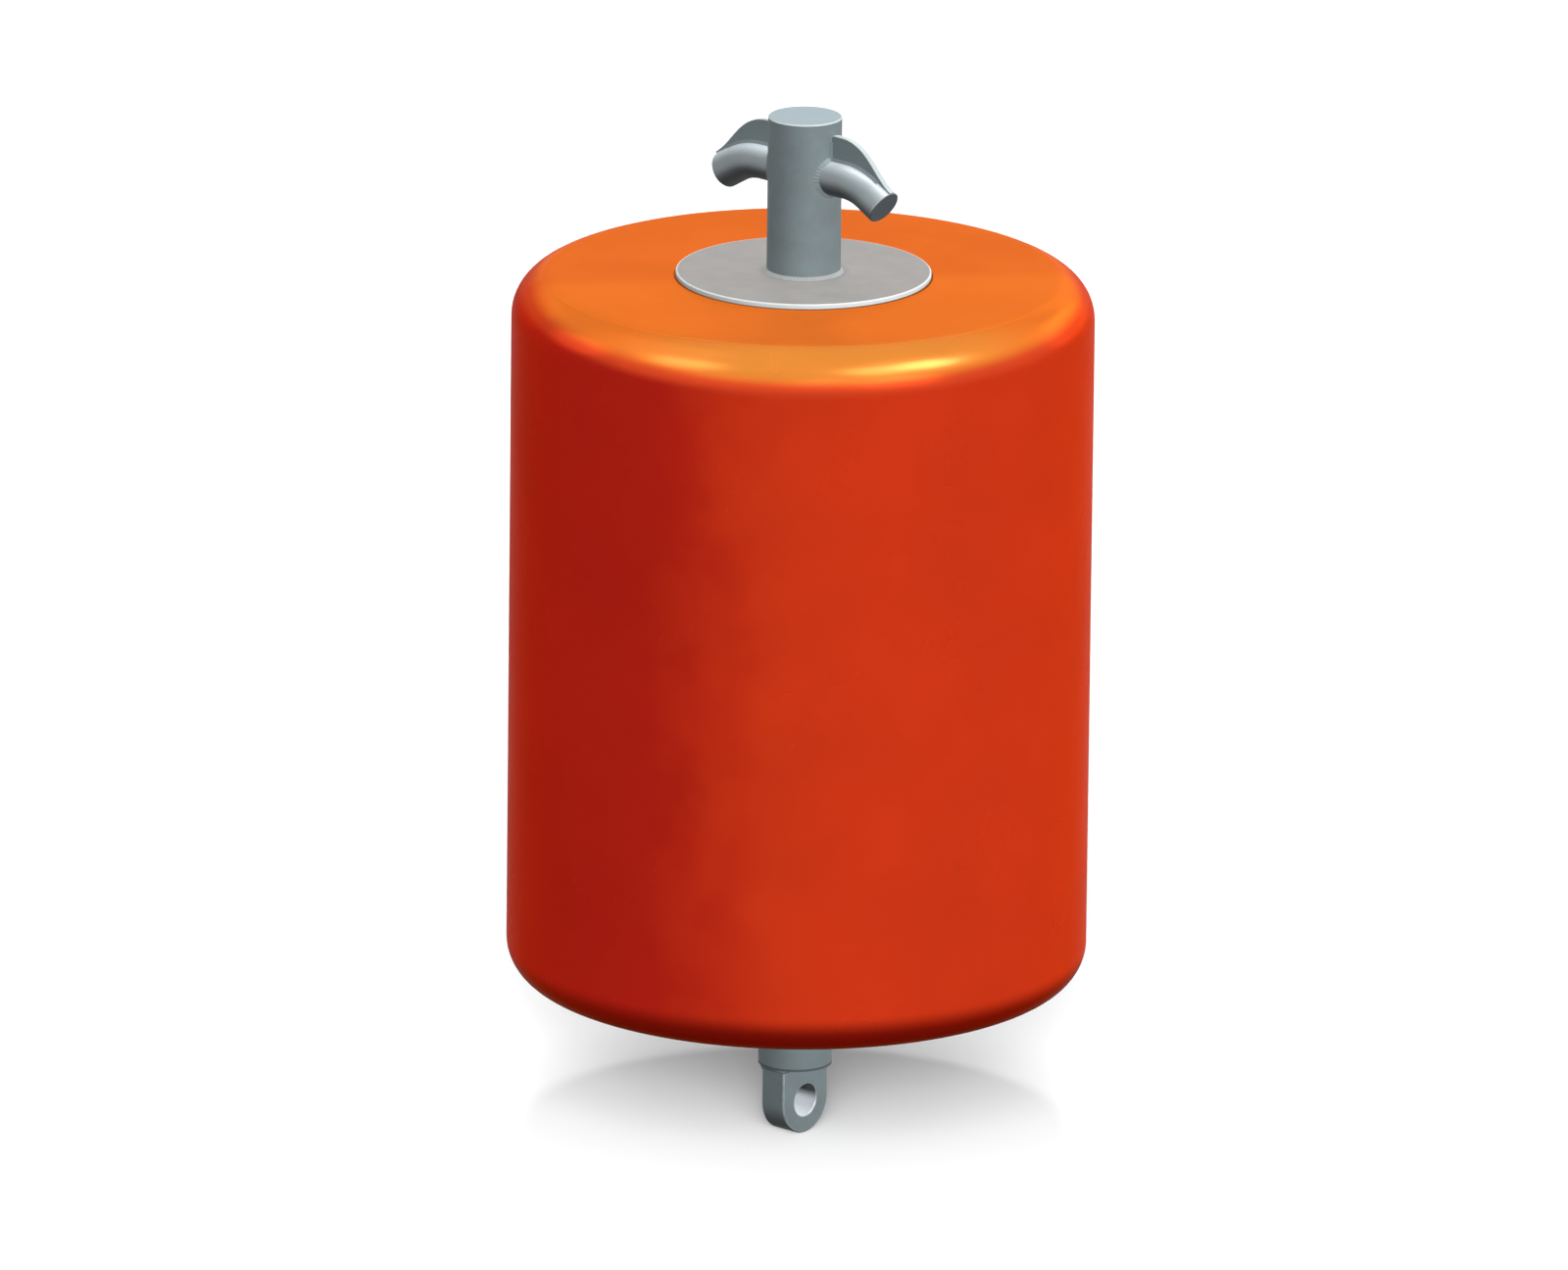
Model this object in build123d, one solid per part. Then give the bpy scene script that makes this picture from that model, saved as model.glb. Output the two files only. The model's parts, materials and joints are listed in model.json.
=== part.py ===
from build123d import *
import os
from math import sqrt

# Cylindrical mooring buoy: a moulded float on a steel tube, with two mooring horns on top and a padeye below.
# All sizes are in millimetres. The origin is the centre of the padeye's bore. +Z runs up the tube, and +X
# points along the right-hand horn.

# Centre tube, a standard pipe that is closed by a plate at each end
tube_diameter = 114.3
tube_wall = 8.0
tube_above_float = 255.0
tube_below_float = 142.0
top_cap_thickness = 10.0
bottom_cap_thickness = 12.0
cap_edge_chamfer = 2.0

# Float
float_diameter = 900.0
float_height = 1125.0
float_shoulder_radius = 66.0
float_foot_radius = 62.0
float_bore_clearance = 0.3

# Flanges, one on each end of the float
flange_diameter = 394.0
flange_thickness = 8.0
flange_rim_chamfer = 1.5
flange_bore_clearance = 0.3

# Padeye, as wide as the end of the tube allows, with a short neck between its round end and the tube
eye_bore_diameter = 50.0
eye_thickness = 45.0
eye_corner_inset = 0.5
eye_neck_length = 6.0
eye_edge_chamfer = 1.5

# Horns, bent from round bar
horn_diameter = 57.2
horn_axis_drop = 87.3
horn_straight_reach = 85.5
horn_bend_radius = 98.4
horn_bend_angle = 30.1
horn_tail_length = 32.0
horn_end_chamfer = 1.5

# Gussets, one above each horn
gusset_thickness = 10.0
gusset_top_drop = 20.0
gusset_corner_radius = 6.0
gusset_flat_length = 12.0
gusset_shoulder_pull = 55.0
gusset_toe_pull = 40.0
gusset_toe_height = 3.0

# Fillet welds, by their leg
flange_weld_leg = 5.0
horn_weld_leg = 5.0
gusset_weld_leg = 4.0
gusset_weld_setback = 28.0
eye_weld_leg = 5.0

# Heights and radii that follow from the sizes above
tube_radius = tube_diameter / 2
horn_radius = horn_diameter / 2
eye_end_radius = sqrt((tube_radius - eye_corner_inset) ** 2 - (eye_thickness / 2) ** 2)
tube_bottom = eye_end_radius + eye_neck_length
float_bottom = tube_bottom + tube_below_float
float_top = float_bottom + float_height
tube_top = float_top + tube_above_float
horn_axis_height = tube_top - horn_axis_drop

upright = (Align.CENTER, Align.CENTER, Align.MIN)


def round_bar(diameter, bottom, top):
    return Pos(0, 0, bottom) * Cylinder(diameter / 2, top - bottom, align=upright)


# The whole tube's outside, which the welded pieces are cut to fit
def tube_envelope():
    return round_bar(tube_diameter, tube_bottom, tube_top)


def centre_tube():
    bottom = tube_bottom + bottom_cap_thickness
    top = tube_top - top_cap_thickness
    return round_bar(tube_diameter, bottom, top) - round_bar(tube_diameter - 2 * tube_wall, bottom, top)


def tube_top_cap():
    plate = round_bar(tube_diameter, tube_top - top_cap_thickness, tube_top)
    return chamfer(plate.edges().group_by(Axis.Z)[-1], cap_edge_chamfer)


# Its edge stays square, because the padeye's corners come almost to it
def tube_bottom_cap():
    return round_bar(tube_diameter, tube_bottom, tube_bottom + bottom_cap_thickness)


def float_body():
    body = round_bar(float_diameter, float_bottom, float_top)
    body = fillet(body.edges().group_by(Axis.Z)[-1], float_shoulder_radius)
    body = fillet(body.edges().group_by(Axis.Z)[0], float_foot_radius)
    return body - round_bar(tube_diameter + 2 * float_bore_clearance, float_bottom, float_top)


def flange(bottom):
    top = bottom + flange_thickness
    plate = round_bar(flange_diameter, bottom, top)
    plate = chamfer(plate.edges().filter_by(GeomType.CIRCLE), flange_rim_chamfer)
    return plate - round_bar(tube_diameter + 2 * flange_bore_clearance, bottom, top)


# A ring of triangular section between the tube and a flange's face, on the side that rise points to
def flange_weld(face_height, rise):
    section = Polyline(
        (tube_radius, face_height),
        (tube_radius + flange_weld_leg, face_height),
        (tube_radius, face_height + rise * flange_weld_leg),
        close=True,
    )
    return revolve(Plane.XZ * make_face(section), Axis.Z)


# The padeye stands in the YZ plane, so that a shackle's pin lies parallel to the horns
def padeye():
    outline = Rectangle(2 * eye_end_radius, tube_bottom, align=(Align.CENTER, Align.MIN))
    outline += Circle(eye_end_radius)
    outline -= Circle(eye_bore_diameter / 2)
    plate = extrude(Plane.YZ * outline, eye_thickness / 2, both=True)
    face_edges = plate.faces().filter_by(Axis.X).edges()
    free_edges = face_edges.filter_by(lambda edge: edge.center().Z < tube_bottom - eye_edge_chamfer)
    return chamfer(free_edges, eye_edge_chamfer)


# A ring with sloping sides round the padeye's root, dressed flush with the tube
def padeye_weld():
    root = Rectangle(eye_thickness + 2 * eye_weld_leg, 2 * eye_end_radius + 2 * eye_weld_leg)
    ring = extrude(Pos(0, 0, tube_bottom) * root, -eye_weld_leg, taper=45)
    ring = ring & round_bar(tube_diameter, tube_bottom - eye_weld_leg, tube_bottom)
    return ring - padeye()


# The right-hand horn's centreline, drawn in the XZ plane from the height of the bar's axis. A lift above
# zero gives the line that runs that far above it, and the setback shortens its end.
def horn_line(lift=0.0, setback=0.0):
    root = Line((tube_radius / 2, lift), (horn_straight_reach, lift))
    bend = JernArc(root @ 1, root % 1, horn_bend_radius + lift, -horn_bend_angle)
    tail = Line(bend @ 1, (bend @ 1) + (bend % 1) * (horn_tail_length - setback))
    return root + bend + tail


def horn_plane(y=0.0):
    return Plane(origin=(0, y, horn_axis_height), x_dir=(1, 0, 0), z_dir=(0, -1, 0))


def swept(line, section):
    return sweep(Plane(line @ 0, x_dir=(0, 1, 0), z_dir=line % 0) * section, path=line)


def horn_bar():
    return swept(horn_plane() * horn_line(), Circle(horn_radius))


# The bar, with its root cut to sit on the tube and its end edge broken
def horn():
    bar = horn_bar() - tube_envelope()
    end_edge = bar.edges().filter_by(GeomType.CIRCLE).sort_by(Axis.X)[-1]
    return chamfer(end_edge, horn_end_chamfer)


# A plate whose top edge leaves the tube level, rolls over a shoulder and runs out along the horn
def gusset_plate():
    top = horn_axis_drop - gusset_top_drop
    line = horn_line()
    toe = (line @ 1) + (line % 1).rotate(Axis.Z, 90) * (horn_radius + gusset_toe_height)
    corner = JernArc((tube_radius, top - gusset_corner_radius), (0, 1), gusset_corner_radius, -90)
    flat = Line(corner @ 1, (corner @ 1) + Vector(gusset_flat_length, 0))
    shoulder = (flat @ 1) + Vector(gusset_shoulder_pull, 0)
    run_out = toe - (line % 1) * gusset_toe_pull
    crest = Bezier(flat @ 1, shoulder, run_out, toe)
    inner = Polyline(line @ 0, (tube_radius / 2, top - gusset_corner_radius), corner @ 0)
    outline = corner + flat + crest + Line(toe, line @ 1) + line + inner
    return extrude(horn_plane() * make_face(outline.edges()), gusset_thickness / 2, both=True)


def gusset():
    return gusset_plate() - tube_envelope() - horn_bar()


# The weld beads on the gusset's two sides, each up the tube and out along the horn. Each is a square bar set
# cornerwise in the joint, so that a flat-faced fillet is left when the joined pieces are cut from it.
def gusset_weld():
    half = gusset_thickness / 2
    horn_line_lift = sqrt(horn_radius**2 - half**2)
    tube_line_reach = sqrt(tube_radius**2 - half**2)
    bead_top = horn_axis_drop - gusset_top_drop - gusset_corner_radius - gusset_weld_leg
    corner_square = Rot(0, 0, 45) * Rectangle(gusset_weld_leg * sqrt(2), gusset_weld_leg * sqrt(2))
    beads = []
    for y in (-half, half):
        along_horn = swept(horn_plane(y) * horn_line(horn_line_lift, gusset_weld_setback), corner_square)
        up_tube = extrude(Pos(tube_line_reach, y, horn_axis_height) * corner_square, bead_top)
        beads.append(along_horn + up_tube - tube_envelope() - horn_bar() - gusset_plate())
    return Compound(children=beads)


# The saddle-shaped weld round the horn's root, broken where the gusset and its welds pass
def horn_weld():
    reach = tube_radius + 2 * horn_weld_leg
    post = round_bar(tube_diameter, horn_axis_height - horn_diameter, horn_axis_height + horn_diameter)
    stub = Pos(0, 0, horn_axis_height) * (Rot(0, 90, 0) * Cylinder(horn_radius, reach, align=upright))
    joined = post + stub
    seam = joined.edges().filter_by(lambda edge: edge.geom_type not in (GeomType.LINE, GeomType.CIRCLE))
    ring = chamfer(seam, horn_weld_leg) - post - stub
    return ring - gusset_plate() - gusset_weld()


def left_of(shape):
    return mirror(shape, Plane.YZ)


def main():
    pieces = {
        "centre_tube": centre_tube(),
        "tube_top_cap": tube_top_cap(),
        "tube_bottom_cap": tube_bottom_cap(),
        "float_body": float_body(),
        "top_flange": flange(float_top),
        "bottom_flange": flange(float_bottom - flange_thickness),
        "top_flange_weld": flange_weld(float_top + flange_thickness, 1),
        "bottom_flange_weld": flange_weld(float_bottom - flange_thickness, -1),
        "padeye": padeye(),
        "padeye_weld": padeye_weld(),
    }
    horn_pieces = {"horn": horn(), "gusset": gusset(), "horn_weld": horn_weld(), "gusset_weld": gusset_weld()}
    for name, shape in horn_pieces.items():
        pieces["right_" + name] = shape
        pieces["left_" + name] = left_of(shape)

    os.makedirs("parts", exist_ok=True)
    for name, shape in pieces.items():
        export_step(shape, "parts/" + name + ".step")


main()
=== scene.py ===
import json
from math import cos, pi, radians, sin

import bmesh
import bpy
from mathutils import Matrix, Vector

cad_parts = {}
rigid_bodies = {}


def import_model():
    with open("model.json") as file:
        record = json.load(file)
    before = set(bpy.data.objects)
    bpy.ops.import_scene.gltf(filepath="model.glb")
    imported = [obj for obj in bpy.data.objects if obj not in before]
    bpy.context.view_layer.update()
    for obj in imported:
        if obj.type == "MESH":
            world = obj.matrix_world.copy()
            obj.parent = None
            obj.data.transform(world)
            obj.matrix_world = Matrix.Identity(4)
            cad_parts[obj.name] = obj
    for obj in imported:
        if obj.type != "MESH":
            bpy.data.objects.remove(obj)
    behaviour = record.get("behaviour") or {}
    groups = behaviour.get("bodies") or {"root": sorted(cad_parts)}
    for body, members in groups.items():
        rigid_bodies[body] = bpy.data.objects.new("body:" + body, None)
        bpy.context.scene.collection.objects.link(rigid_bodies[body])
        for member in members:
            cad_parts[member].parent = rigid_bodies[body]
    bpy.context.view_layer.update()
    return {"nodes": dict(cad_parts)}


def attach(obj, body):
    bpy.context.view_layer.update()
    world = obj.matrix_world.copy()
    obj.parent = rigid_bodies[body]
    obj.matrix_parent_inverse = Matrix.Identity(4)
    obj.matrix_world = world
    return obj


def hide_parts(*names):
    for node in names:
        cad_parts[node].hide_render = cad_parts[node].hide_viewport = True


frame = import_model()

scene = bpy.context.scene
nodes = frame["nodes"]
print("frame loaded,", len(nodes), "nodes")


def newPiece(name, bm, material):
    mesh = bpy.data.meshes.new(name)
    bm.to_mesh(mesh)
    bm.free()
    mesh.materials.append(material)
    piece = bpy.data.objects.new(name, mesh)
    scene.collection.objects.link(piece)
    return piece


def finishPiece(name, bm, material):
    bmesh.ops.recalc_face_normals(bm, faces=bm.faces)
    piece = newPiece(name, bm, material)
    for face in piece.data.polygons:
        face.use_smooth = True
    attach(piece, "root")
    return piece


def sharpenOver(piece, degrees):
    piece.data.set_sharp_from_angle(angle=radians(degrees))
    keepFlat = piece.modifiers.new("keepFlat", "WEIGHTED_NORMAL")
    keepFlat.keep_sharp = True


def dress(names, material):
    for name in names:
        for place in nodes[name].material_slots:
            place.material = material


# a long lens, so the picture is nearly free of perspective
cameraSettings = {
    "azimuth": 41.0,
    "elevation": 16.3,
    "roll": 0.62,
    "distance": 40.0,
    "lens": 594.0,
    "clipStart": 1.0,
    "clipEnd": 200.0,
    "aimHeight": 0.7625,
    "aimLeft": 0.0241,
    "aimDown": 0.0141,
}


# the azimuth turns from -Y towards +X
def directionFrom(azimuth, elevation):
    a, e = radians(azimuth), radians(elevation)
    return Vector((sin(a) * cos(e), -cos(a) * cos(e), sin(e)))


def makeCamera(s):
    back = directionFrom(s["azimuth"], s["elevation"])
    right = Vector((cos(radians(s["azimuth"])), sin(radians(s["azimuth"])), 0))
    up = back.cross(right)
    aim = Vector((0, 0, s["aimHeight"])) - right * s["aimLeft"] - up * s["aimDown"]
    data = bpy.data.cameras.new("camera")
    data.lens = s["lens"]
    data.clip_start = s["clipStart"]
    data.clip_end = s["clipEnd"]
    camera = bpy.data.objects.new("camera", data)
    scene.collection.objects.link(camera)
    turn = back.to_track_quat("Z", "Y").to_matrix() @ Matrix.Rotation(radians(s["roll"]), 3, "Z")
    camera.matrix_world = Matrix.Translation(aim + back * s["distance"]) @ turn.to_4x4()
    scene.camera = camera


makeCamera(cameraSettings)
scene.view_settings.view_transform = "Standard"
print("camera placed")


def newTree(name):
    material = bpy.data.materials.new(name)
    material.use_nodes = True
    tree = material.node_tree
    tree.nodes.clear()
    return material, tree


# a socket is linked, and a number or a colour is set on the shader's own socket
def feed(tree, value, socket):
    if isinstance(value, bpy.types.NodeSocket):
        tree.links.new(value, socket)
    elif isinstance(value, tuple) and len(socket.default_value) > len(value):
        socket.default_value = (*value, 1.0)
    else:
        socket.default_value = value


def put(tree, kind, settings=None, **inputs):
    node = tree.nodes.new(kind)
    for key, value in (settings or {}).items():
        setattr(node, key, value)
    for key, value in inputs.items():
        feed(tree, value, node.inputs[key.replace("_", " ")])
    return node


def calc(tree, operation, a, b=0.0, c=0.0, clamp=False):
    node = put(tree, "ShaderNodeMath", {"operation": operation, "use_clamp": clamp})
    for socket, value in zip(node.inputs, (a, b, c)):
        feed(tree, value, socket)
    return node.outputs[0]


def vectorCalc(tree, operation, a, b):
    node = put(tree, "ShaderNodeVectorMath", {"operation": operation})
    for socket, value in zip(node.inputs, (a, b)):
        feed(tree, value, socket)
    return node.outputs


def scaled(tree, colour, factor):
    node = put(tree, "ShaderNodeVectorMath", {"operation": "SCALE"}, Scale=factor)
    feed(tree, colour, node.inputs[0])
    return node.outputs[0]


def ramp(tree, value, low, high, toLow=0.0, toHigh=1.0, smooth=True):
    node = put(
        tree, "ShaderNodeMapRange", {"interpolation_type": "SMOOTHSTEP" if smooth else "LINEAR"},
        Value=value, From_Min=low, From_Max=high, To_Min=toLow, To_Max=toHigh,
    )
    return node.outputs["Result"]


# a mask from 0 to 1 moves a number from the first to the second
def between(tree, mask, first, second):
    return ramp(tree, mask, 0, 1, first, second, smooth=False)


# 0 below a level and 1 above it, with a soft step between
def above(tree, value, level, blur):
    return ramp(tree, value, level - blur, level + blur)


def mixColour(tree, factor, a, b):
    node = put(tree, "ShaderNodeMix", {"data_type": "RGBA"}, Factor=factor)
    feed(tree, a, node.inputs[6])  # colours stand after the sockets for numbers and vectors
    feed(tree, b, node.inputs[7])
    return node.outputs[2]


def noise(tree, vector, scale, detail=2.0, roughness=0.5):
    node = put(
        tree, "ShaderNodeTexNoise",
        Vector=vector, Scale=scale, Detail=detail, Roughness=roughness,
    )
    return node.outputs["Fac"]


def objectPlace(tree):
    place = put(tree, "ShaderNodeTexCoord").outputs["Object"]
    parts = put(tree, "ShaderNodeSeparateXYZ", Vector=place)
    return place, parts.outputs["X"], parts.outputs["Y"], parts.outputs["Z"]


# how far a point lies from an axis that the other coordinate runs along
def distanceFrom(tree, a, b):
    squares = calc(tree, "MULTIPLY_ADD", a, a, calc(tree, "MULTIPLY", b, b))
    return calc(tree, "SQRT", squares)


# how far a point lies out in one level direction, as a share of a radius
def reachTowards(tree, x, y, azimuth, radius=1.0):
    direction = directionFrom(azimuth, 0) / radius
    return calc(tree, "MULTIPLY_ADD", y, direction.y, calc(tree, "MULTIPLY", x, direction.x))


def newGroup(name, inputs, outputs):
    group = bpy.data.node_groups.new(name, "ShaderNodeTree")
    for label in inputs:
        kind = "NodeSocketVector" if label == "Vector" else "NodeSocketFloat"
        group.interface.new_socket(name=label, in_out="INPUT", socket_type=kind)
    for label in outputs:
        group.interface.new_socket(name=label, in_out="OUTPUT", socket_type="NodeSocketFloat")
    return group, group.nodes.new("NodeGroupInput").outputs, group.nodes.new("NodeGroupOutput").inputs


def useGroup(tree, group, **inputs):
    return put(tree, "ShaderNodeGroup", {"node_tree": group}, **inputs).outputs


# cloudy patches: one value for how light a place is, another for how far its hue drifts, both near 0.5
patchSettings = {
    "detail": 3.0,
    "roughness": 0.55,
    "moved": (3.7, 1.9, 5.3),
    "hueScale": 1.6,
    "band": (0.32, 0.68),
}


def makeSoftPatches(s):
    group, given, gives = newGroup("softPatches", ["Vector", "Per Metre"], ["Light", "Hue"])
    wide = noise(group, given["Vector"], given["Per Metre"], s["detail"], s["roughness"])
    moved = vectorCalc(group, "ADD", given["Vector"], s["moved"])[0]
    drift = noise(group, moved, calc(group, "MULTIPLY", given["Per Metre"], s["hueScale"]))
    feed(group, ramp(group, wide, *s["band"]), gives["Light"])
    feed(group, ramp(group, drift, *s["band"]), gives["Hue"])
    return group


# the skin of sprayed paint: fine pimples on long low waves
grainSettings = {
    "detail": 3.0,
    "roughness": 0.6,
    "waveScale": 0.06,
    "waveDetail": 1.0,
    "waveRoughness": 0.4,
    "band": (0.35, 0.65),
}


def makeFineGrain(s):
    group, given, gives = newGroup("fineGrain", ["Vector", "Per Metre", "Waves"], ["Height", "Speckle"])
    fine = noise(group, given["Vector"], given["Per Metre"], s["detail"], s["roughness"])
    waveScale = calc(group, "MULTIPLY", given["Per Metre"], s["waveScale"])
    waves = noise(group, given["Vector"], waveScale, s["waveDetail"], s["waveRoughness"])
    feed(group, calc(group, "MULTIPLY_ADD", waves, given["Waves"], fine), gives["Height"])
    feed(group, ramp(group, fine, *s["band"]), gives["Speckle"])
    return group


# 1 on an edge of the piece and 0 a few millimetres away, broken up a little along its length
wearSettings = {
    "samples": 8,
    "turned": (0.995, 0.93),
    "patchesPerMetre": 90.0,
    "detail": 3.0,
    "roughness": 0.6,
    "band": (0.3, 0.6),
    "least": 0.45,
}


def makeWornEdge(s):
    group, given, gives = newGroup("wornEdge", ["Vector", "Radius", "Wear"], ["Mask"])
    rounded = put(group, "ShaderNodeBevel", {"samples": s["samples"]}, Radius=given["Radius"])
    normal = put(group, "ShaderNodeNewGeometry").outputs["Normal"]
    alike = vectorCalc(group, "DOT_PRODUCT", rounded.outputs[0], normal)["Value"]
    patches = noise(group, given["Vector"], s["patchesPerMetre"], s["detail"], s["roughness"])
    broken = ramp(group, patches, *s["band"], s["least"], 1.0)
    wearAndHighlight = calc(group, "MULTIPLY", ramp(group, alike, *s["turned"]), broken)
    feed(group, calc(group, "MULTIPLY", wearAndHighlight, given["Wear"], clamp=True), gives["Mask"])
    return group


softPatches = makeSoftPatches(patchSettings)
fineGrain = makeFineGrain(grainSettings)
wornEdge = makeWornEdge(wearSettings)


# a little lighter and a little darker, either side of 1
def patchLightness(tree, patches, s):
    return between(tree, patches["Light"], 1 - s["unevenness"], 1 + s["unevenness"])


def finishShader(tree, colour, roughness, height, s, metal=None):
    bump = put(tree, "ShaderNodeBump", Strength=s["bump"], Distance=s["bumpDepth"], Height=height)
    shader = put(tree, "ShaderNodeBsdfPrincipled", Base_Color=colour, Roughness=roughness)
    feed(tree, metal or s["metallic"], shader.inputs["Metallic"])
    shader.inputs["Specular IOR Level"].default_value = s["specular"]
    feed(tree, bump.outputs[0], shader.inputs["Normal"])
    out = put(tree, "ShaderNodeOutputMaterial")
    feed(tree, shader.outputs[0], out.inputs["Surface"])
    return shader


# the skin of the float, over both ends and down the bore
floatShape = {
    "radius": 0.4498,
    "bottom": 0.200,
    "top": 1.325,
    "bore": 0.0575,
    "shoulder": 0.066,
    "foot": 0.062,
    "segments": 256,
    "roundSegments": 16,
    "sameLevel": 0.00001,
    "endRing": 0.004,
    "boreRing": 0.0001,
    "sharpOver": 40,
}

# Moulded skin: red orange, painted a lighter orange on top and in a lip low on the shoulder as painted
# light, and a deeper red on the side away from the lamps as painted shade. The painted light comes
# further down the shoulder on the lit side, with a painted highlight there.
# A band is the two places between which one colour gives way to the next.
floatLook = {
    "side": (0.70, 0.043, 0.010),
    "paintedShade": (0.515, 0.0165, 0.008),
    "lip": (0.76, 0.068, 0.019),
    "lipPaintedShade": (0.60, 0.050, 0.015),
    "top": (0.86, 0.193, 0.025),
    "paintedHighlight": (0.86, 0.278, 0.034),
    "foot": (0.28, 0.0080, 0.003),
    "edge": (1.0, 0.55, 0.42),
    "thrown": (0.20, 0.19, 0.19),
    "brightSide": 131.0,
    "paintedShadeBand": (-0.02, -0.25),  # metres from the axis towards the bright side
    "paintedShadeWander": 0.05,
    "paintedLightSide": 48.0,
    "paintedLightBand": (0.60, 0.92),  # shares of the radius towards the painted light
    "lipPaintedShadeBand": (0.75, 0.45),
    "lipBand": (-0.076, -0.057),  # metres from the top, on the side that faces the painted light
    "topBand": (-0.059, -0.037),
    "paintedHighlightBand": (-0.055, -0.032),
    "lift": 0.043,  # and this much higher on the side that doesn't
    "flatBand": (-0.0035, -0.0001),
    "footShadeBand": (0.066, 0.031),  # metres from the bottom
    "paintedShadow": 0.35,
    "paintedShadowReach": (0.2012, 0.1985),
    "paintedShadowBand": (-0.025, -0.015),
    "patchesPerMetre": 5.5,
    "unevenness": 0.03,
    "roughness": 0.25,
    "roughnessDrift": 0.05,
    "chalked": 0.22,
    "metallic": 0.22,
    "specular": 0.0,
    "highlightMetallic": 0.28,
    "highlightCoat": 0.30,
    "wavesPerMetre": 22.0,
    "waveDetail": 1.0,
    "bump": 0.15,
    "bumpDepth": 0.0008,
}


# the colour of the side, and the deeper red that it turns to away from the bright side, which is painted
# shade
def sideColour(tree, s, patches, x, y):
    across = reachTowards(tree, x, y, s["brightSide"])
    drift = calc(tree, "MULTIPLY_ADD", patches["Hue"], s["paintedShadeWander"], across)
    start, end = (place + s["paintedShadeWander"] / 2 for place in s["paintedShadeBand"])
    return mixColour(tree, ramp(tree, drift, start, end), s["side"], s["paintedShade"])


# up the shoulder: a lip of bright red orange, then the orange of the top, both painted light, and a
# painted highlight where the key lamp falls most
def shoulderColour(tree, s, colour, flat, x, y, fromTop):
    lightward = reachTowards(tree, x, y, s["paintedLightSide"], floatShape["radius"])
    lift = calc(tree, "MULTIPLY", calc(tree, "MAXIMUM", lightward, 0), s["lift"])
    height = calc(tree, "ADD", fromTop, calc(tree, "SUBTRACT", lift, s["lift"]))
    lip = mixColour(tree, ramp(tree, lightward, *s["lipPaintedShadeBand"]), s["lip"], s["lipPaintedShade"])
    colour = mixColour(tree, ramp(tree, height, *s["lipBand"]), colour, lip)
    colour = mixColour(tree, ramp(tree, height, *s["topBand"]), colour, s["top"])
    paintedLit = calc(tree, "MULTIPLY", ramp(tree, lightward, *s["paintedLightBand"]), calc(tree, "SUBTRACT", 1, flat))
    paintedHighlight = calc(tree, "MULTIPLY", paintedLit, ramp(tree, height, *s["paintedHighlightBand"]))
    return mixColour(tree, paintedHighlight, colour, s["paintedHighlight"]), paintedHighlight


def makeFloatSkin(s):
    material, tree = newTree("floatSkin")
    place, x, y, z = objectPlace(tree)
    patches = useGroup(tree, softPatches, Vector=place, Per_Metre=s["patchesPerMetre"])
    fromTop = calc(tree, "SUBTRACT", z, floatShape["top"])
    fromBottom = calc(tree, "SUBTRACT", z, floatShape["bottom"])
    flat = ramp(tree, fromTop, *s["flatBand"])

    colour = sideColour(tree, s, patches, x, y)
    colour, paintedHighlight = shoulderColour(tree, s, colour, flat, x, y, fromTop)
    # the foot is painted a deeper red: painted shade on the underside
    colour = mixColour(tree, ramp(tree, fromBottom, *s["footShadeBand"]), colour, s["foot"])

    # a painted shadow lies against the rim of the disc
    reach = ramp(tree, distanceFrom(tree, x, y), *s["paintedShadowReach"])
    paintedShadow = calc(tree, "MULTIPLY", reach, ramp(tree, fromTop, *s["paintedShadowBand"]))
    colour = scaled(tree, colour, between(tree, paintedShadow, 1, s["paintedShadow"]))
    colour = scaled(tree, colour, patchLightness(tree, patches, s))

    # the colour that the skin throws on the steel is kept neutral
    rays = put(tree, "ShaderNodeLightPath").outputs
    thrown = calc(tree, "MAXIMUM", rays["Is Diffuse Ray"], rays["Is Glossy Ray"])
    colour = mixColour(tree, thrown, colour, s["thrown"])

    # the flat top has gone chalky
    smoothest = s["roughness"] - s["roughnessDrift"] / 2
    rough = calc(tree, "MULTIPLY_ADD", patches["Hue"], s["roughnessDrift"], smoothest)
    rough = calc(tree, "MULTIPLY_ADD", flat, s["chalked"], rough)

    # the band of painted highlight is also slightly glossier
    metal = between(tree, paintedHighlight, s["metallic"], s["highlightMetallic"])
    waves = noise(tree, place, s["wavesPerMetre"], s["waveDetail"])
    shader = finishShader(tree, colour, rough, waves, s, metal)
    feed(tree, calc(tree, "MULTIPLY", paintedHighlight, s["highlightCoat"]), shader.inputs["Coat Weight"])
    shader.inputs["Coat Roughness"].default_value = s["roughness"]
    shader.inputs["Specular Tint"].default_value = (*s["edge"], 1)
    return material


# the mottling and the grain that all the grey paint shares
paintSettings = {
    "patchesPerMetre": 22.0,
    "grainPerMetre": 420.0,
    "waves": 0.8,
    "speckle": 0.05,
    "roughnessDrift": 0.08,
    "speckleRoughness": 0.05,
    "wearRadius": 0.0030,
    "wearGloss": 0.12,
}

# cool and warm are the two ends of the paint's mottling, and the bright colour is worn edges on some
# pieces and a painted highlight on others
tubeLook = {
    "cool": (0.235, 0.297, 0.316),
    "warm": (0.247, 0.294, 0.303),
    "wearAndHighlight": (0.70, 0.76, 0.78),
    "unevenness": 0.05,
    "roughness": 0.50,
    "metallic": 0.12,
    "specular": 0.25,
    "wear": 0.0,
    "bump": 0.10,
    "bumpDepth": 0.001,
}
plateLook = {**tubeLook, "wear": 1.0}


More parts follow.
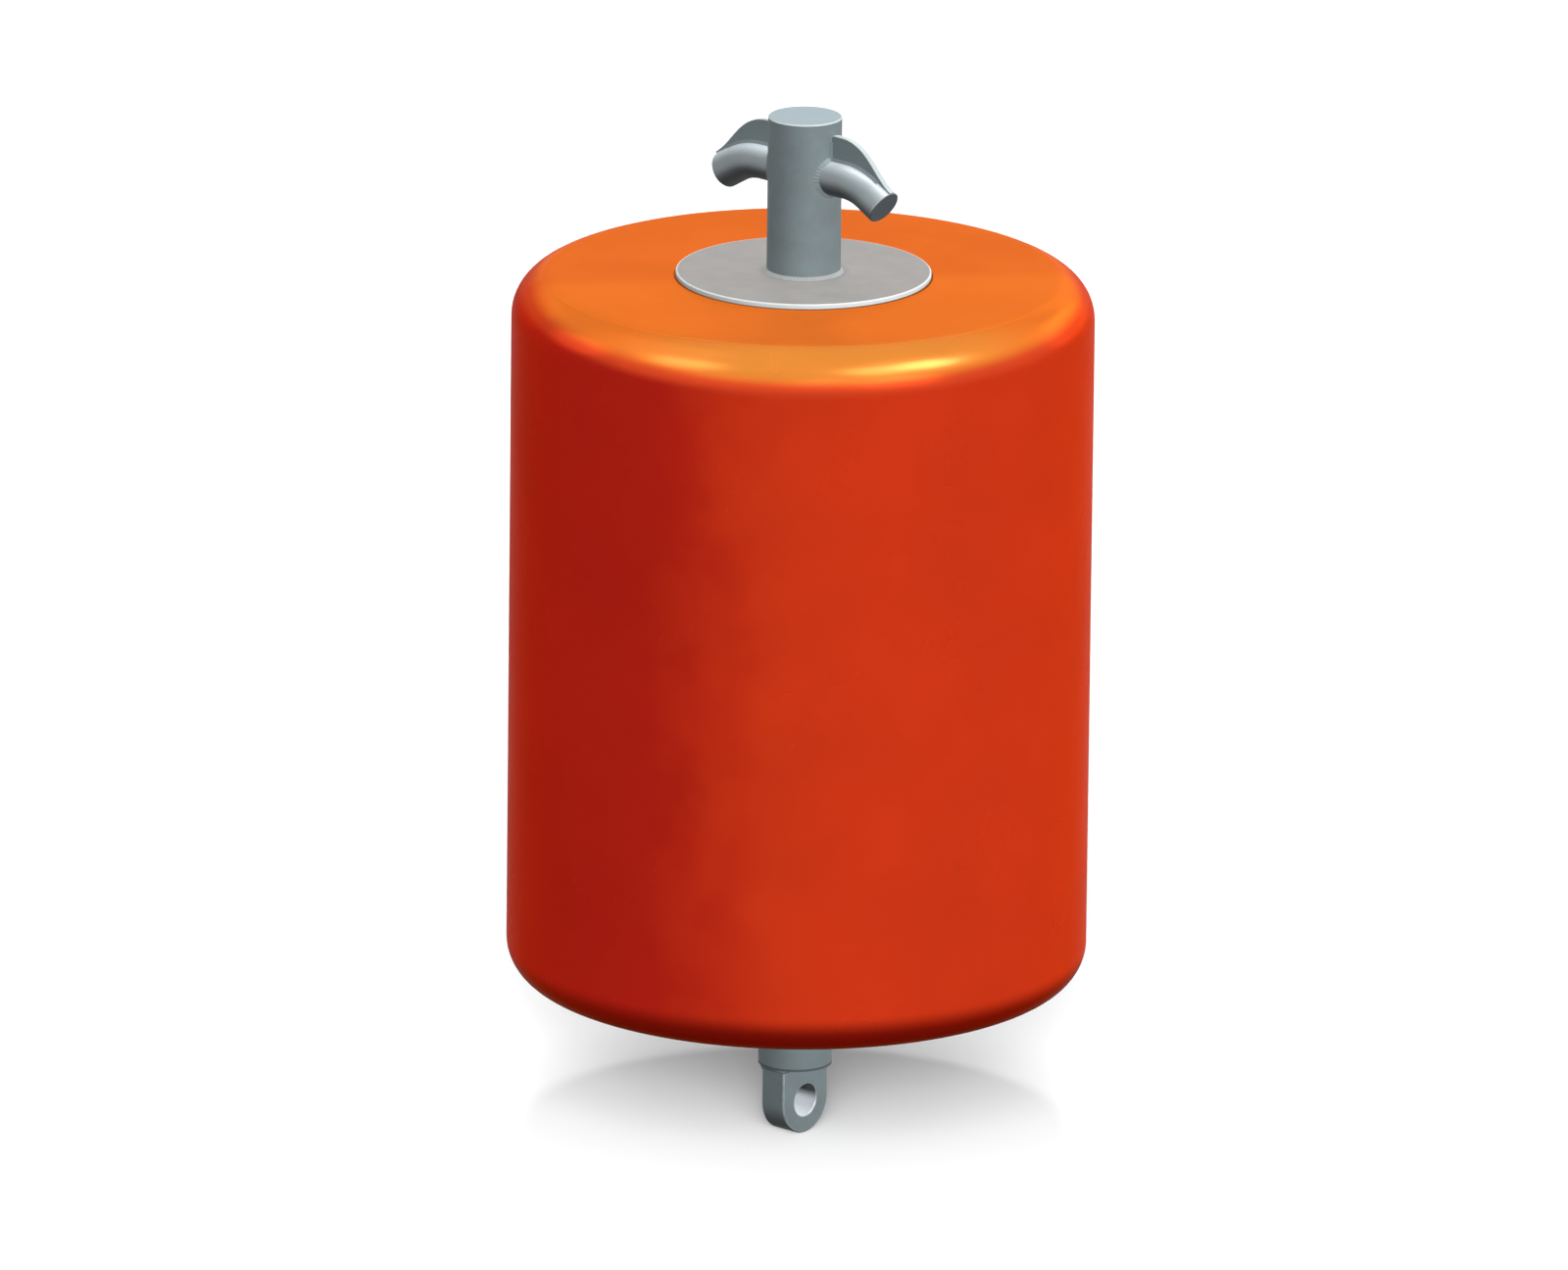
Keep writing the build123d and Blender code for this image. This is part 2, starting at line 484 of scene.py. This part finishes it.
def steelPaint(tree, s, place):
    p = paintSettings
    patches = useGroup(tree, softPatches, Vector=place, Per_Metre=p["patchesPerMetre"])
    grain = useGroup(tree, fineGrain, Vector=place, Per_Metre=p["grainPerMetre"], Waves=p["waves"])
    colour = mixColour(tree, patches["Hue"], s["cool"], s["warm"])
    lightness = calc(tree, "SUBTRACT", patchLightness(tree, patches, s), p["speckle"] / 2)
    lightness = calc(tree, "MULTIPLY_ADD", grain["Speckle"], p["speckle"], lightness)
    smoothest = s["roughness"] - p["roughnessDrift"] / 2
    rough = calc(tree, "MULTIPLY_ADD", patches["Light"], p["roughnessDrift"], smoothest)
    rough = calc(tree, "MULTIPLY_ADD", grain["Speckle"], p["speckleRoughness"], rough)
    return scaled(tree, colour, lightness), rough, grain["Height"]


# a mark is what is special to one piece: it changes colour and roughness, and may set how metallic it is
def makeSteel(name, s, mark=None):
    material, tree = newTree(name)
    place, x, y, z = objectPlace(tree)
    colour, rough, height = steelPaint(tree, s, place)
    if s["wear"] > 0:
        radius = paintSettings["wearRadius"]
        edge = useGroup(tree, wornEdge, Vector=place, Radius=radius, Wear=s["wear"])["Mask"]
        colour = mixColour(tree, edge, colour, s["wearAndHighlight"])
        rough = calc(tree, "MULTIPLY_ADD", edge, -paintSettings["wearGloss"], rough)
    metal = None
    if mark:
        colour, rough, metal = mark(tree, s, colour, rough, x, y, z)
    finishShader(tree, colour, rough, height, s, metal)
    return material


def facing(tree):
    normal = put(tree, "ShaderNodeNewGeometry").outputs["Normal"]
    return put(tree, "ShaderNodeSeparateXYZ", Vector=normal).outputs


# the disc's rim is painted bright, a painted highlight, and a painted shadow lies where the tube stands
# on the face
flangeLook = {
    **tubeLook,
    "cool": (0.358, 0.345, 0.336),
    "warm": (0.366, 0.346, 0.330),
    "wearAndHighlight": (0.90, 0.95, 0.95),
    "roughness": 0.58,
    "metallic": 0.05,
    "rim": 0.1946,
    "rimBlur": 0.0006,
    "paintedShadow": 0.8,
    "paintedShadowReach": (0.074, 0.060),
}


def markRim(tree, s, colour, rough, x, y, z):
    reach = distanceFrom(tree, x, y)
    colour = scaled(tree, colour, ramp(tree, reach, *s["paintedShadowReach"], 1.0, s["paintedShadow"]))
    return mixColour(tree, above(tree, reach, s["rim"], s["rimBlur"]), colour, s["wearAndHighlight"]), rough, None


# the cap's face is painted lighter, as painted light from above, and its chamfer is painted bright, a
# painted highlight
capLook = {
    **tubeLook,
    "face": (0.37, 0.46, 0.495),
    "rimHeight": 1.5779,
    "rimBlur": 0.0003,
    "faceHeight": 1.5798,
    "faceBlur": 0.0001,
}


def markCap(tree, s, colour, rough, x, y, z):
    colour = mixColour(tree, above(tree, z, s["rimHeight"], s["rimBlur"]), colour, s["wearAndHighlight"])
    colour = mixColour(tree, above(tree, z, s["faceHeight"], s["faceBlur"]), colour, s["face"])
    return colour, rough, None


# a dark line runs round the lower rim of the tube
footLook = {**tubeLook, "line": 0.0615, "lineBlur": 0.0008, "lineDarkness": 0.45}


def markFoot(tree, s, colour, rough, x, y, z):
    line = ramp(tree, z, s["line"] + s["lineBlur"], s["line"])
    return scaled(tree, colour, between(tree, line, 1, s["lineDarkness"])), rough, None


# the bore is painted bright where it faces up, partly polished by the shackle's pin and partly painted
# light, and what faces down is painted dark, a painted shade
eyeLook = {
    **plateLook,
    "polishedAndLit": (0.80, 0.86, 0.90),
    "paintedDownShade": (0.012, 0.018, 0.016),
    "bareRoughness": 0.30,
    "bore": 0.0256,
    "boreBlur": 0.0012,
    "paintedShadeInBore": (0.30, -0.45),
    "paintedShadeBelow": (-0.05, -0.80),
}


def markEye(tree, s, colour, rough, x, y, z):
    up = facing(tree)["Z"]
    bore = ramp(tree, distanceFrom(tree, y, z), s["bore"] + s["boreBlur"], s["bore"])
    inside = mixColour(tree, ramp(tree, up, *s["paintedShadeInBore"]), s["polishedAndLit"], s["paintedDownShade"])
    colour = mixColour(tree, ramp(tree, up, *s["paintedShadeBelow"]), colour, s["paintedDownShade"])
    colour = mixColour(tree, bore, colour, inside)
    return colour, ramp(tree, bore, 0, 1, rough, s["bareRoughness"]), None


# the crest of the plate, which is what faces neither sideways nor down, is painted bright: a painted
# highlight
gussetLook = {**plateLook, "crest": 0.85, "crestSides": (0.85, 0.40), "crestUp": (-0.1, 0.2)}


def markCrest(tree, s, colour, rough, x, y, z):
    normal = facing(tree)
    crest = ramp(tree, calc(tree, "ABSOLUTE", normal["Y"]), *s["crestSides"], 0, s["crest"])
    crest = calc(tree, "MULTIPLY", crest, ramp(tree, normal["Z"], *s["crestUp"]))
    return mixColour(tree, crest, colour, s["wearAndHighlight"]), rough, None


# the top of the bar is painted bright, a painted highlight, and beneath it painted dark, a painted shade;
# the sawn end is painted dark, a painted shade, and is rougher and less metallic
hornLook = {
    "cool": (0.33, 0.385, 0.405),
    "warm": (0.34, 0.385, 0.395),
    "wearAndHighlight": (0.92, 0.96, 0.98),
    "paintedTopLight": (0.68, 0.76, 0.80),
    "under": (0.040, 0.046, 0.052),
    "sawn": (0.10, 0.12, 0.14),
    "unevenness": 0.05,
    "roughness": 0.34,
    "metallic": 0.20,
    "specular": 0.5,
    "wear": 1.0,
    "bump": 0.10,
    "bumpDepth": 0.0008,
    "paintedTopLightUp": (0.35, 0.95),
    "underUp": (0.20, -0.60),
    "tailAngle": 30.1,
    "endReach": 0.1625,
    "endHeight": 1.4634,
    "sawnFrom": 0.0006,
    "sawnTo": 0.0002,
    "sawnRoughness": 0.6,
    "sawnMetallic": 0.1,
}


def markBar(tree, s, colour, rough, x, y, z):
    up = facing(tree)["Z"]
    colour = mixColour(tree, ramp(tree, up, *s["paintedTopLightUp"]), colour, s["paintedTopLight"])
    colour = mixColour(tree, ramp(tree, up, *s["underUp"]), colour, s["under"])
    # the end is found by its reach along the tail, which is the same on both horns
    turned, dropped = cos(radians(s["tailAngle"])), sin(radians(s["tailAngle"]))
    along = calc(tree, "MULTIPLY", calc(tree, "ABSOLUTE", x), turned)
    along = calc(tree, "MULTIPLY_ADD", z, -dropped, along)
    end = s["endReach"] * turned - s["endHeight"] * dropped
    sawn = ramp(tree, along, end - s["sawnFrom"], end - s["sawnTo"])
    rough = ramp(tree, sawn, 0, 1, rough, s["sawnRoughness"])
    metal = ramp(tree, sawn, 0, 1, s["metallic"], s["sawnMetallic"])
    return mixColour(tree, sawn, colour, s["sawn"]), rough, metal


# a bead's ripples, which are scallops round an axis or a pitch along a straight run
weldLook = {
    **tubeLook,
    "cool": (0.225, 0.275, 0.29),
    "warm": (0.235, 0.275, 0.285),
    "bump": 0.35,
    "bumpDepth": 0.002,
    "ripple": 0.8,
    "pitch": 0.0045,
    "valley": 0.85,
    "valleyWidth": 0.6,
}
# the flange welds are painted paler than the tube: a painted highlight at the tube's foot
flangeWeldLook = {
    **weldLook,
    "cool": (0.46, 0.49, 0.49),
    "warm": (0.47, 0.485, 0.48),
    "scallops": 80,
}
hornWeldLook = {
    **weldLook,
    "cool": (0.33, 0.395, 0.415),
    "warm": (0.34, 0.39, 0.405),
    "scallops": 36,
    "axisHeight": 1.4927,
}


def ripplesRound(tree, s, a, b):
    turn = calc(tree, "MULTIPLY", calc(tree, "ARCTAN2", a, b), s["scallops"] / 2)
    return calc(tree, "ABSOLUTE", calc(tree, "SINE", turn))


def ripplesAlong(tree, s, run):
    return calc(tree, "ABSOLUTE", calc(tree, "SINE", calc(tree, "MULTIPLY", run, pi / s["pitch"])))


def roundTube(tree, s, x, y, z):
    return ripplesRound(tree, s, y, x)


def roundHorn(tree, s, x, y, z):
    return ripplesRound(tree, s, y, calc(tree, "SUBTRACT", z, s["axisHeight"]))


def alongGusset(tree, s, x, y, z):
    return ripplesAlong(tree, s, calc(tree, "SUBTRACT", calc(tree, "ABSOLUTE", x), z))


def roundPadeye(tree, s, x, y, z):
    return ripplesAlong(tree, s, calc(tree, "ADD", x, y))


def makeWeld(name, s, ripples):
    material, tree = newTree(name)
    place, x, y, z = objectPlace(tree)
    colour, rough, height = steelPaint(tree, s, place)
    ripple = ripples(tree, s, x, y, z)
    # the valleys between ripples are painted darker: painted shade
    colour = scaled(tree, colour, ramp(tree, ripple, 0, s["valleyWidth"], s["valley"], 1))
    height = calc(tree, "MULTIPLY_ADD", ripple, s["ripple"], height)
    finishShader(tree, colour, rough, height, s)
    return material


floatSkin = makeFloatSkin(floatLook)
tubeSteel = makeSteel("tubeSteel", tubeLook)
footSteel = makeSteel("footSteel", footLook, markFoot)
gussetSteel = makeSteel("gussetSteel", gussetLook, markCrest)
eyeSteel = makeSteel("eyeSteel", eyeLook, markEye)
capSteel = makeSteel("capSteel", capLook, markCap)
flangeSteel = makeSteel("flangeSteel", flangeLook, markRim)
hornSteel = makeSteel("hornSteel", hornLook, markBar)
flangeWeld = makeWeld("flangeWeld", flangeWeldLook, roundTube)
hornWeld = makeWeld("hornWeld", hornWeldLook, roundHorn)
gussetWeld = makeWeld("gussetWeld", weldLook, alongGusset)
padeyeWeld = makeWeld("padeyeWeld", weldLook, roundPadeye)
print("materials ready")


def makeFloat(s):
    bm = bmesh.new()
    middle = Matrix.Translation((0, 0, (s["top"] + s["bottom"]) / 2))
    bmesh.ops.create_cone(
        bm, cap_ends=True, segments=s["segments"], radius1=s["radius"], radius2=s["radius"],
        depth=s["top"] - s["bottom"], matrix=middle,
    )
    for level, size in ((s["top"], s["shoulder"]), (s["bottom"], s["foot"])):
        ring = [e for e in bm.edges if all(abs(v.co.z - level) < s["sameLevel"] for v in e.verts)]
        bmesh.ops.bevel(
            bm, geom=ring, offset=size, offset_type="OFFSET", affect="EDGES",
            segments=s["roundSegments"], profile=0.5, material=-1,
        )

    # only the flat ends have more than four corners: both are drawn in to the bore, and then joined
    ends = [f for f in bm.faces if len(f.verts) > 4]
    for face in ends:
        bmesh.ops.inset_individual(bm, faces=[face], thickness=s["endRing"], use_even_offset=True)
        toBore = s["bore"] / face.verts[0].co.xy.length
        bmesh.ops.inset_individual(bm, faces=[face], thickness=s["boreRing"])
        bmesh.ops.scale(bm, vec=(toBore, toBore, 1), verts=face.verts)
    rims = [e for face in ends for e in face.edges]
    bmesh.ops.delete(bm, geom=ends, context="FACES_ONLY")
    bmesh.ops.bridge_loops(bm, edges=rims)
    return finishPiece("float_skin_moulded", bm, floatSkin)


floatPiece = makeFloat(floatShape)
sharpenOver(floatPiece, floatShape["sharpOver"])
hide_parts("float_body")
print("float made")

dress(["centre_tube"], tubeSteel)
dress(["tube_bottom_cap"], footSteel)
dress(["tube_top_cap"], capSteel)
dress(["right_gusset", "left_gusset"], gussetSteel)
dress(["padeye"], eyeSteel)
dress(["top_flange", "bottom_flange"], flangeSteel)
dress(["right_horn", "left_horn"], hornSteel)
dress(["top_flange_weld", "bottom_flange_weld"], flangeWeld)
dress(["right_horn_weld", "left_horn_weld"], hornWeld)
dress(["right_gusset_weld", "left_gusset_weld"], gussetWeld)
dress(["padeye_weld"], padeyeWeld)
print("steel dressed")


# rays that see the stage directly, in a mirror, or either way: all others only carry its light
def seeingRays(tree):
    rays = put(tree, "ShaderNodeLightPath").outputs
    direct = calc(tree, "MAXIMUM", rays["Is Camera Ray"], rays["Is Transmission Ray"])
    return direct, rays["Is Glossy Ray"], calc(tree, "MAXIMUM", direct, rays["Is Glossy Ray"])


# the floor lies just under the padeye, and is darker to the light that it sends back up
floorLook = {
    "height": -0.0535,
    "radius": 40.0,
    "segments": 96,
    "tone": 0.80,
    "mirrored": 0.50,
    "bounce": 0.06,
    "ambient": 0.08,
}


def makeFloorPaint(s):
    material, tree = newTree("floorPaint")
    direct, mirrored, seen = seeingRays(tree)
    tone = calc(tree, "MULTIPLY_ADD", direct, s["tone"] - s["bounce"], s["bounce"])
    tone = calc(tree, "MULTIPLY_ADD", mirrored, s["mirrored"] - s["bounce"], tone)
    grey = put(tree, "ShaderNodeCombineColor", Red=tone, Green=tone, Blue=tone)
    diffuse = put(tree, "ShaderNodeBsdfDiffuse", Color=grey.outputs[0])
    glow = put(tree, "ShaderNodeEmission", Strength=calc(tree, "MULTIPLY", seen, s["ambient"]))
    both = put(tree, "ShaderNodeAddShader")
    feed(tree, diffuse.outputs[0], both.inputs[0])
    feed(tree, glow.outputs[0], both.inputs[1])
    out = put(tree, "ShaderNodeOutputMaterial")
    feed(tree, both.outputs[0], out.inputs["Surface"])
    return material


def makeFloor(s):
    bm = bmesh.new()
    bmesh.ops.create_circle(
        bm, cap_ends=True, segments=s["segments"], radius=s["radius"],
        matrix=Matrix.Translation((0, 0, s["height"])),
    )
    floor = newPiece("floor", bm, makeFloorPaint(s))
    return floor


worldLook = {"seen": 1.0, "light": 0.10}


def makeWorld(s):
    world = bpy.data.worlds.new("studio")
    scene.world = world
    world.use_nodes = True
    tree = world.node_tree
    tree.nodes.clear()
    seen = seeingRays(tree)[-1]
    strength = calc(tree, "MULTIPLY_ADD", seen, s["seen"] - s["light"], s["light"])
    background = put(tree, "ShaderNodeBackground", Strength=strength)
    out = put(tree, "ShaderNodeOutputWorld")
    feed(tree, background.outputs[0], out.inputs["Surface"])


# In degrees, side is how far a lamp stands to the right of the camera, up how far above the floor, and
# spread how wide it is. Each lights only what it is on, and only those on the floor cast shadows.
lamps = {
    "key": {"side": 62, "up": 44.5, "spread": 21, "level": 0.36, "on": "float"},
    "keyWide": {"side": 36, "up": 44, "spread": 22, "level": 0.17, "on": "float"},
    "rightFill": {"side": 40, "up": 10, "spread": 30, "level": 0.22, "on": "float"},
    "frontFill": {"side": 10, "up": 10, "spread": 40, "level": 0.16, "on": "float"},
    "frontLeft": {"side": -30, "up": 10, "spread": 40, "level": 0.09, "on": "float"},
    "leftFill": {"side": -60, "up": 20, "spread": 40, "level": 0.05, "on": "float"},
    "leftKey": {"side": -60, "up": 43, "spread": 26, "level": 0.21, "on": "float"},
    "leftRim": {"side": -105, "up": 20, "spread": 30, "level": 0.20, "on": "float"},
    "leftHigh": {"side": -105, "up": 55, "spread": 40, "level": 0.07, "on": "float"},
    "backLeft": {"side": -150, "up": 10, "spread": 40, "level": 0.10, "on": "float"},
    "backRight": {"side": 135, "up": 10, "spread": 40, "level": 0.34, "on": "float"},
    "backFill": {"side": 170, "up": 10, "spread": 40, "level": 0.14, "on": "float"},
    "steelKey": {"side": 57, "up": 44.5, "spread": 14, "level": 0.22, "on": "steel"},
    "steelRight": {"side": 45, "up": 25, "spread": 30, "level": 0.30, "on": "steel"},
    "steelFront": {"side": 10, "up": 18, "spread": 30, "level": 0.32, "on": "steel"},
    "steelLeft": {"side": -60, "up": 20, "spread": 40, "level": 0.05, "on": "steel"},
    "steelTop": {"side": 180, "up": 70, "spread": 50, "level": 0.60, "on": "steel"},
    "floorWide": {"side": 0, "up": 20, "spread": 80, "level": 0.88, "on": "floor"},
    "floorLow": {"side": 0, "up": 20, "spread": 40, "level": 1.72, "on": "floor"},
    "floorNarrow": {"side": 0, "up": 19, "spread": 12, "level": 0.62, "on": "floor"},
    "floorAbove": {"side": 0, "up": 89, "spread": 15, "level": 0.44, "on": "floor"},
}


def makeLamps(s, floor):
    lit = {name: bpy.data.collections.new("lit_" + name) for name in ("float", "steel", "floor")}
    groups = {floor: "floor", floatPiece: "float"}
    for thing in scene.objects:
        if thing.type == "MESH":
            lit[groups.get(thing, "steel")].objects.link(thing)
    for name, lamp in s.items():
        data = bpy.data.lights.new(name, "SUN")
        data.energy = lamp["level"] * pi
        data.angle = radians(lamp["spread"])
        data.use_shadow = lamp["on"] == "floor"
        thing = bpy.data.objects.new(name, data)
        scene.collection.objects.link(thing)
        towards = directionFrom(cameraSettings["azimuth"] + lamp["side"], lamp["up"])
        thing.rotation_mode = "QUATERNION"
        thing.rotation_quaternion = towards.to_track_quat("Z", "Y")
        thing.light_linking.receiver_collection = lit[lamp["on"]]


floor = makeFloor(floorLook)
makeWorld(worldLook)
makeLamps(lamps, floor)
print("stage and lamps set")
